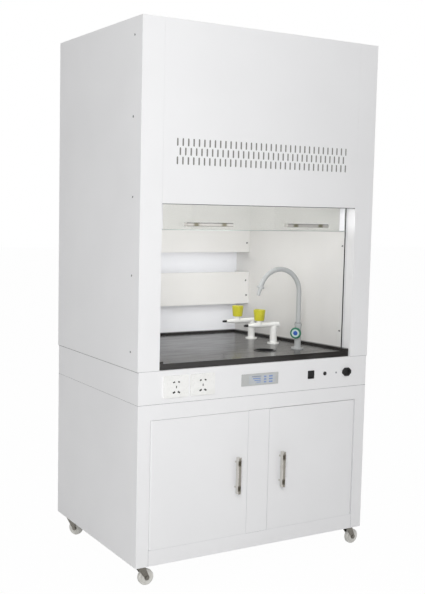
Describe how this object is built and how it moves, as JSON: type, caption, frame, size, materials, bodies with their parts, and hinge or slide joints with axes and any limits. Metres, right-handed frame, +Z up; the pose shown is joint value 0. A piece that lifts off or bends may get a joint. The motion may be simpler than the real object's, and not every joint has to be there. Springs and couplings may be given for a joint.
{
  "type": "fume hood",
  "caption": "White sheet metal laboratory fume hood on castors with base cabinet, black worktop, sink, gas and water taps, sliding glass sash and an exhaust fan.",
  "frame": {"origin": "on the floor, below the middle of the cabinet", "axes": "+X to the right seen from the front, +Y to the back, +Z up"},
  "size_m": [1.2286, 0.925, 2.41],
  "materials": {
    "white_paint": "satin powder coat",
    "liner_board": "satin board",
    "bright_chrome": "polished",
    "zinc_steel": "satin",
    "dark_zinc": "satin",
    "pale_nylon": "satin",
    "black_plastic": "satin",
    "white_plastic": "gloss",
    "grey_plastic": "gloss",
    "lamp_cover": "frosted",
    "black_worktop": "satin",
    "white_epoxy": "painted over",
    "yellow_plastic": "gloss",
    "grey_epoxy": "painted over",
    "green_plastic": "gloss",
    "pale_track": "satin",
    "clear_glass": "clear",
    "bare_aluminium": "satin",
    "steel_cable": "stranded",
    "cast_weight": "painted",
    "duct_paint": "satin"
  },
  "bodies": {
    "hood": {"base_carcass": "white_paint", "base_front_frame": "white_paint", "door_pivot_pins": "zinc_steel", "castor_plates": "zinc_steel", "band_shell": "white_paint", "control_fascia": "white_paint", "power_sockets": "white_plastic", "display_panel": "grey_plastic", "switch_housings": "black_plastic", "power_inlet": "black_plastic", "worktop": "black_worktop", "cup_sink": "black_plastic", "sink_trap": "black_plastic", "gas_valves": "white_epoxy", "faucet_column": "grey_epoxy", "hood_side_left": "white_paint", "hood_side_right": "white_paint", "hood_back": "white_paint", "hood_top": "white_paint", "front_fascia": "white_paint", "post_left": "white_paint", "post_right": "white_paint", "liner_sides": "liner_board", "liner_back": "liner_board", "liner_ceiling": "liner_board", "baffle_upper": "liner_board", "baffle_middle": "liner_board", "chamber_lamp": "lamp_cover", "panel_screws": "zinc_steel", "sash_tracks": "pale_track", "sash_cables": "steel_cable", "weight_cables": "steel_cable", "cable_wraps": "steel_cable", "pulley_brackets": "zinc_steel", "exhaust_duct": "duct_paint"},
    "castor_fork_fl": {"castor_fork_fl": "dark_zinc"},
    "castor_fork_fr": {"castor_fork_fr": "dark_zinc"},
    "castor_fork_rl": {"castor_fork_rl": "dark_zinc"},
    "castor_fork_rr": {"castor_fork_rr": "dark_zinc"},
    "castor_wheel_fl": {"castor_wheel_fl": "pale_nylon"},
    "castor_wheel_fr": {"castor_wheel_fr": "pale_nylon"},
    "castor_wheel_rl": {"castor_wheel_rl": "pale_nylon"},
    "castor_wheel_rr": {"castor_wheel_rr": "pale_nylon"},
    "left_door": {"door_left": "white_paint", "door_handle_left": "bright_chrome"},
    "right_door": {"door_right": "white_paint", "door_handle_right": "bright_chrome"},
    "rocker": {"switch_rocker": "black_plastic"},
    "button": {"push_button": "black_plastic"},
    "rear_gas_knob": {"gas_knob_rear": "yellow_plastic"},
    "front_gas_knob": {"gas_knob_front": "yellow_plastic"},
    "spout": {"faucet_spout": "grey_epoxy"},
    "water_wheel": {"faucet_handle": "green_plastic"},
    "sash": {"sash_glass": "clear_glass", "sash_rail": "bare_aluminium", "sash_handles": "bright_chrome"},
    "weights": {"counterweights": "cast_weight"},
    "left_pulley": {"pulley_left": "black_plastic"},
    "right_pulley": {"pulley_right": "black_plastic"},
    "impeller": {"fan_impeller": "black_plastic"}
  },
  "joints": [
    {"name": "castor_swivel_fl", "type": "hinge", "parent": "hood", "child": "castor_fork_fl", "pos_m": [-0.556, -0.372, 0.09], "axis": [0, 0, 1], "continuous": true},
    {"name": "castor_roll_fl", "type": "hinge", "parent": "castor_fork_fl", "child": "castor_wheel_fl", "pos_m": [-0.52, -0.372, 0.035], "axis": [0, 1, 0], "continuous": true},
    {"name": "castor_swivel_fr", "type": "hinge", "parent": "hood", "child": "castor_fork_fr", "pos_m": [0.556, -0.372, 0.09], "axis": [0, 0, 1], "continuous": true},
    {"name": "castor_roll_fr", "type": "hinge", "parent": "castor_fork_fr", "child": "castor_wheel_fr", "pos_m": [0.59191, -0.36949, 0.035], "axis": [-0.0698, 0.9976, 0], "continuous": true},
    {"name": "castor_swivel_rl", "type": "hinge", "parent": "hood", "child": "castor_fork_rl", "pos_m": [-0.556, 0.372, 0.09], "axis": [0, 0, 1], "continuous": true},
    {"name": "castor_roll_rl", "type": "hinge", "parent": "castor_fork_rl", "child": "castor_wheel_rl", "pos_m": [-0.53535, 0.34251, 0.035], "axis": [0.8192, 0.5736, 0], "continuous": true},
    {"name": "castor_swivel_rr", "type": "hinge", "parent": "hood", "child": "castor_fork_rr", "pos_m": [0.556, 0.372, 0.09], "axis": [0, 0, 1], "continuous": true},
    {"name": "castor_roll_rr", "type": "hinge", "parent": "castor_fork_rr", "child": "castor_wheel_rr", "pos_m": [0.58983, 0.38431, 0.035], "axis": [-0.342, 0.9397, 0], "continuous": true},
    {"name": "left_door_hinge", "type": "hinge", "parent": "hood", "child": "left_door", "pos_m": [-0.5275, -0.422, 0.443], "axis": [0, 0, -1], "range_deg": [0, 100]},
    {"name": "right_door_hinge", "type": "hinge", "parent": "hood", "child": "right_door", "pos_m": [0.5275, -0.422, 0.443], "axis": [0, 0, 1], "range_deg": [0, 100]},
    {"name": "rocker_tilt", "type": "hinge", "parent": "hood", "child": "rocker", "pos_m": [0.276, -0.426, 0.8545], "axis": [1, 0, 0], "range_deg": [0, 16]},
    {"name": "button_press", "type": "slide", "parent": "hood", "child": "button", "axis": [0, 1, 0], "range_m": [0, 0.003], "stiffness_N_per_m": 300, "springref_m": -0.003},
    {"name": "rear_gas_turn", "type": "hinge", "parent": "hood", "child": "rear_gas_knob", "pos_m": [0.216, 0.107, 1.09], "axis": [0, 0, 1], "range_deg": [0, 270]},
    {"name": "front_gas_turn", "type": "hinge", "parent": "hood", "child": "front_gas_knob", "pos_m": [0.216, -0.087, 1.09], "axis": [0, 0, 1], "range_deg": [0, 270]},
    {"name": "spout_swing", "type": "hinge", "parent": "hood", "child": "spout", "pos_m": [0.311, -0.272, 1.1], "axis": [0, 0, -1], "range_deg": [-15, 100]},
    {"name": "water_turn", "type": "hinge", "parent": "hood", "child": "water_wheel", "pos_m": [0.311, -0.272, 1.028], "axis": [-0.766, -0.6428, 0], "range_deg": [0, 360]},
    {"name": "sash_slide", "type": "slide", "parent": "hood", "child": "sash", "axis": [0, 0, 1], "range_m": [-0.54, 0.06], "deforming": ["sash_cables"]},
    {"name": "weight_slide", "type": "slide", "parent": "hood", "child": "weights", "axis": [0, 0, 1], "range_m": [-0.06, 0.54], "deforming": ["weight_cables"]},
    {"name": "left_pulley_turn", "type": "hinge", "parent": "hood", "child": "left_pulley", "pos_m": [-0.52, -0.362, 2.308], "axis": [0, 1, 0], "range_deg": [-120, 1040]},
    {"name": "right_pulley_turn", "type": "hinge", "parent": "hood", "child": "right_pulley", "pos_m": [0.52, -0.362, 2.308], "axis": [0, 1, 0], "range_deg": [-1040, 120]},
    {"name": "fan_spin", "type": "hinge", "parent": "hood", "child": "impeller", "pos_m": [0, 0.2, 2.116], "axis": [0, 0, 1], "continuous": true}
  ],
  "couplings": [
    {"joint": "weight_slide", "follows": "sash_slide", "ratio": -1},
    {"joint": "right_pulley_turn", "follows": "sash_slide", "rad_per_m": 33.333},
    {"joint": "left_pulley_turn", "follows": "sash_slide", "rad_per_m": -33.333}
  ]
}
